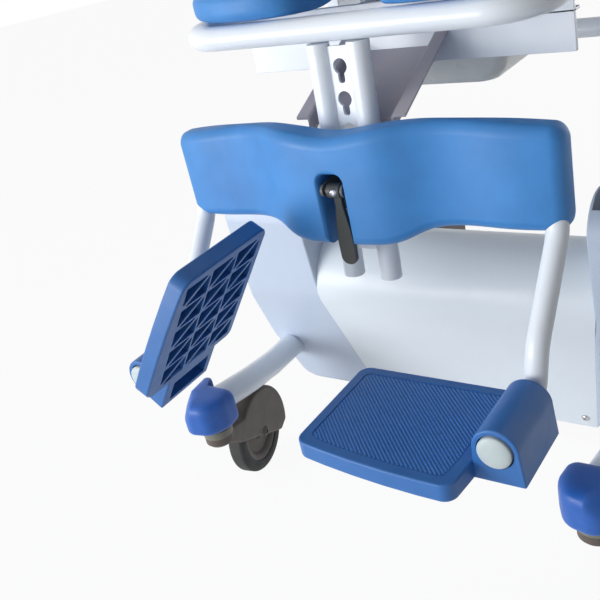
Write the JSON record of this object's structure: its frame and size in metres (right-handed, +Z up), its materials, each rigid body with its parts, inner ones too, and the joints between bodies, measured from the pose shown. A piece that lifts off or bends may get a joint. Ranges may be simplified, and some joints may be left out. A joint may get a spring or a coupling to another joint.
{
  "type": "electric shower commode chair",
  "caption": "Height and tilt adjustable shower commode chair on casters: horseshoe seat, back, flip-up arms, sliding calf pad on a leg rail and folding footplates",
  "frame": {"origin": "on the floor, under the middle of the chair's plan box", "axes": "+Z up, the occupant faces -Y, +X is the occupant's left"},
  "size_m": [0.6858, 1.0381, 1.1065],
  "materials": {
    "barrel_plastic": "glossy moulded",
    "blue_foam": "integral-skin foam",
    "bumper_rubber": "satin",
    "cap_plastic": "satin",
    "case_plastic": "grained",
    "caster_plastic": "moulded",
    "channel_paint": "satin paint",
    "footplate_plastic": "fine grained moulded",
    "lever_plastic": "satin",
    "pan_plastic": "glossy",
    "shell_plastic": "satin moulded",
    "tyre_rubber": "matte",
    "white_powder_coat": "glossy powder coat",
    "zinc_plated_steel": "zinc plated"
  },
  "bodies": {
    "base": {"base_frame": "white_powder_coat", "barrel_housing": "barrel_plastic", "battery_pack": "case_plastic", "control_box": "lever_plastic", "side_shell_left": "shell_plastic", "side_shell_right": "shell_plastic", "front_bumper_left": "bumper_rubber", "front_bumper_right": "bumper_rubber"},
    "front_caster_left": {"front_caster_fork_left": "caster_plastic"},
    "front_wheel_left": {"front_tyre_left": "tyre_rubber", "front_wheel_hub_left": "caster_plastic"},
    "front_caster_right": {"front_caster_fork_right": "caster_plastic"},
    "front_wheel_right": {"front_tyre_right": "tyre_rubber", "front_wheel_hub_right": "caster_plastic"},
    "rear_caster_left": {"rear_caster_fork_left": "caster_plastic"},
    "rear_wheel_left": {"rear_tyre_left": "tyre_rubber", "rear_wheel_hub_left": "caster_plastic"},
    "rear_caster_right": {"rear_caster_fork_right": "caster_plastic"},
    "rear_wheel_right": {"rear_tyre_right": "tyre_rubber", "rear_wheel_hub_right": "caster_plastic"},
    "brake_left": {"brake_pedal_left": "bumper_rubber"},
    "brake_right": {"brake_pedal_right": "bumper_rubber"},
    "lift_arm_left": {"lift_arm_left": "white_powder_coat"},
    "control_link_left": {"control_link_left": "zinc_plated_steel"},
    "lift_actuator_tube_left": {"lift_actuator_tube_left": "case_plastic"},
    "lift_actuator_rod_left": {"lift_actuator_rod_left": "zinc_plated_steel"},
    "lift_arm_right": {"lift_arm_right": "white_powder_coat"},
    "control_link_right": {"control_link_right": "zinc_plated_steel"},
    "lift_actuator_tube_right": {"lift_actuator_tube_right": "case_plastic"},
    "lift_actuator_rod_right": {"lift_actuator_rod_right": "zinc_plated_steel"},
    "carrier": {"seat_carrier": "white_powder_coat"},
    "seat": {"seat_frame": "white_powder_coat", "rail_bracket": "channel_paint", "leg_rail": "white_powder_coat", "seat_pad": "blue_foam", "back_frame": "white_powder_coat", "back_pad": "blue_foam", "hand_grip_left": "lever_plastic", "hand_grip_right": "lever_plastic", "control_panel": "case_plastic"},
    "tilt_tube": {"tilt_actuator_tube": "case_plastic"},
    "tilt_rod": {"tilt_actuator_rod": "zinc_plated_steel"},
    "pan": {"commode_pan": "pan_plastic"},
    "button_1": {"control_button_1": "cap_plastic"},
    "button_2": {"control_button_2": "cap_plastic"},
    "button_3": {"control_button_3": "cap_plastic"},
    "button_4": {"control_button_4": "cap_plastic"},
    "armrest_left": {"armrest_left": "white_powder_coat", "arm_pad_left": "blue_foam"},
    "armrest_right": {"armrest_right": "white_powder_coat", "arm_pad_right": "blue_foam"},
    "leg_carriage": {"rail_slide": "case_plastic", "calf_pad": "blue_foam", "footrest_tube_left": "white_powder_coat", "footrest_tube_right": "white_powder_coat", "axle_cap_left": "cap_plastic", "axle_cap_right": "cap_plastic"},
    "lever": {"release_lever": "lever_plastic"},
    "footplate_left": {"footplate_left": "footplate_plastic"},
    "footplate_right": {"footplate_right": "footplate_plastic"}
  },
  "joints": [
    {"name": "front_swivel_left", "type": "hinge", "parent": "base", "child": "front_caster_left", "pos_m": [0.267, -0.34906, 0.108], "axis": [0, 0, 1], "continuous": true},
    {"name": "front_wheel_spin_left", "type": "hinge", "parent": "front_caster_left", "child": "front_wheel_left", "pos_m": [0.28193, -0.26437, 0.0625], "axis": [0.9848, -0.1736, 0], "continuous": true},
    {"name": "front_swivel_right", "type": "hinge", "parent": "base", "child": "front_caster_right", "pos_m": [-0.267, -0.34906, 0.108], "axis": [0, 0, 1], "continuous": true},
    {"name": "front_wheel_spin_right", "type": "hinge", "parent": "front_caster_right", "child": "front_wheel_right", "pos_m": [-0.28193, -0.26437, 0.0625], "axis": [0.9848, 0.1736, 0], "continuous": true},
    {"name": "rear_swivel_left", "type": "hinge", "parent": "base", "child": "rear_caster_left", "pos_m": [0.29, 0.33994, 0.108], "axis": [0, 0, 1], "continuous": true},
    {"name": "rear_wheel_spin_left", "type": "hinge", "parent": "rear_caster_left", "child": "rear_wheel_left", "pos_m": [0.29, 0.42594, 0.0625], "axis": [1, 0, 0], "continuous": true},
    {"name": "rear_swivel_right", "type": "hinge", "parent": "base", "child": "rear_caster_right", "pos_m": [-0.29, 0.33994, 0.108], "axis": [0, 0, 1], "continuous": true},
    {"name": "rear_wheel_spin_right", "type": "hinge", "parent": "rear_caster_right", "child": "rear_wheel_right", "pos_m": [-0.29, 0.42594, 0.0625], "axis": [1, 0, 0], "continuous": true},
    {"name": "brake_left", "type": "hinge", "parent": "rear_caster_left", "child": "brake_left", "pos_m": [0.29, 0.49965, 0.08645], "axis": [-1, 0, 0], "range_deg": [0, 15]},
    {"name": "brake_right", "type": "hinge", "parent": "rear_caster_right", "child": "brake_right", "pos_m": [-0.29, 0.49965, 0.08645], "axis": [-1, 0, 0], "range_deg": [0, 15]},
    {"name": "lift_left", "type": "hinge", "parent": "base", "child": "lift_arm_left", "pos_m": [0.274, -0.09506, 0.354], "axis": [1, 0, 0], "range_deg": [-5, 35]},
    {"name": "lift_right", "type": "hinge", "parent": "base", "child": "lift_arm_right", "pos_m": [-0.274, -0.09506, 0.354], "axis": [1, 0, 0], "range_deg": [-5, 35]},
    {"name": "link_left", "type": "hinge", "parent": "base", "child": "control_link_left", "pos_m": [0.301, -0.05806, 0.294], "axis": [1, 0, 0], "range_deg": [-5, 35]},
    {"name": "lift_actuator_lean_left", "type": "hinge", "parent": "base", "child": "lift_actuator_tube_left", "pos_m": [0.231, 0.06994, 0.112], "axis": [1, 0, 0], "range_deg": [-1.2, 7.2]},
    {"name": "lift_actuator_stroke_left", "type": "slide", "parent": "lift_actuator_tube_left", "child": "lift_actuator_rod_left", "axis": [0, -0.0771, 0.997], "range_m": [-0.0122, 0.0835]},
    {"name": "link_right", "type": "hinge", "parent": "base", "child": "control_link_right", "pos_m": [-0.301, -0.05806, 0.294], "axis": [1, 0, 0], "range_deg": [-5, 35]},
    {"name": "lift_actuator_lean_right", "type": "hinge", "parent": "base", "child": "lift_actuator_tube_right", "pos_m": [-0.231, 0.06994, 0.112], "axis": [1, 0, 0], "range_deg": [-1.2, 7.2]},
    {"name": "lift_actuator_stroke_right", "type": "slide", "parent": "lift_actuator_tube_right", "child": "lift_actuator_rod_right", "axis": [0, -0.0771, 0.997], "range_m": [-0.0122, 0.0835]},
    {"name": "carrier_level", "type": "hinge", "parent": "lift_arm_left", "child": "carrier", "pos_m": [0, 0.33394, 0.493], "axis": [1, 0, 0], "range_deg": [-35, 5]},
    {"name": "tilt", "type": "hinge", "parent": "carrier", "child": "seat", "pos_m": [0, 0.14994, 0.6], "axis": [-1, 0, 0], "range_deg": [0, 30]},
    {"name": "tilt_actuator_lean", "type": "hinge", "parent": "carrier", "child": "tilt_tube", "pos_m": [-0.187, 0.31694, 0.461], "axis": [-1, 0, 0], "range_deg": [0, 7.3]},
    {"name": "tilt_actuator_stroke", "type": "slide", "parent": "tilt_tube", "child": "tilt_rod", "axis": [0, -0.9856, 0.1693], "range_m": [0, 0.0535]},
    {"name": "pan_slide", "type": "slide", "parent": "seat", "child": "pan", "axis": [1, 0, 0], "range_m": [0, 0.36]},
    {"name": "button_1_press", "type": "slide", "parent": "seat", "child": "button_1", "axis": [0, -1, 0], "range_m": [0, 0.002], "stiffness_N_per_m": 400},
    {"name": "button_2_press", "type": "slide", "parent": "seat", "child": "button_2", "axis": [0, -1, 0], "range_m": [0, 0.002], "stiffness_N_per_m": 400},
    {"name": "button_3_press", "type": "slide", "parent": "seat", "child": "button_3", "axis": [0, -1, 0], "range_m": [0, 0.002], "stiffness_N_per_m": 400},
    {"name": "button_4_press", "type": "slide", "parent": "seat", "child": "button_4", "axis": [0, -1, 0], "range_m": [0, 0.002], "stiffness_N_per_m": 400},
    {"name": "armrest_flip_left", "type": "hinge", "parent": "seat", "child": "armrest_left", "pos_m": [0.246, 0.22798, 0.88], "axis": [-1, 0, 0], "range_deg": [0, 95]},
    {"name": "armrest_flip_right", "type": "hinge", "parent": "seat", "child": "armrest_right", "pos_m": [-0.246, 0.22798, 0.88], "axis": [-1, 0, 0], "range_deg": [0, 95]},
    {"name": "leg_height", "type": "slide", "parent": "seat", "child": "leg_carriage", "axis": [0, 0.0523, 0.9986], "range_m": [-0.035, 0.03]},
    {"name": "lever_pull", "type": "hinge", "parent": "leg_carriage", "child": "lever", "pos_m": [0, -0.32806, 0.491], "axis": [-1, 0, 0], "range_deg": [0, 25], "stiffness_Nm_per_rad": 0.1},
    {"name": "footplate_fold_left", "type": "hinge", "parent": "leg_carriage", "child": "footplate_left", "pos_m": [0.2245, -0.43306, 0.304], "axis": [0, 1, 0], "range_deg": [0, 90]},
    {"name": "footplate_fold_right", "type": "hinge", "parent": "leg_carriage", "child": "footplate_right", "pos_m": [-0.2245, -0.43306, 0.304], "axis": [0, -1, 0], "range_deg": [-56, 34]}
  ],
  "couplings": [
    {"joint": "lift_right", "follows": "lift_left", "ratio": 1},
    {"joint": "link_left", "follows": "lift_left", "ratio": 1},
    {"joint": "lift_actuator_lean_left", "follows": "lift_left", "ratio": 0.19548},
    {"joint": "lift_actuator_stroke_left", "follows": "lift_left", "m_per_rad": 0.13434},
    {"joint": "link_right", "follows": "lift_left", "ratio": 1},
    {"joint": "lift_actuator_lean_right", "follows": "lift_left", "ratio": 0.19548},
    {"joint": "lift_actuator_stroke_right", "follows": "lift_left", "m_per_rad": 0.13434},
    {"joint": "carrier_level", "follows": "lift_left", "ratio": -1},
    {"joint": "tilt_actuator_lean", "follows": "tilt", "ratio": 0.23475},
    {"joint": "tilt_actuator_stroke", "follows": "tilt", "m_per_rad": 0.09954}
  ]
}
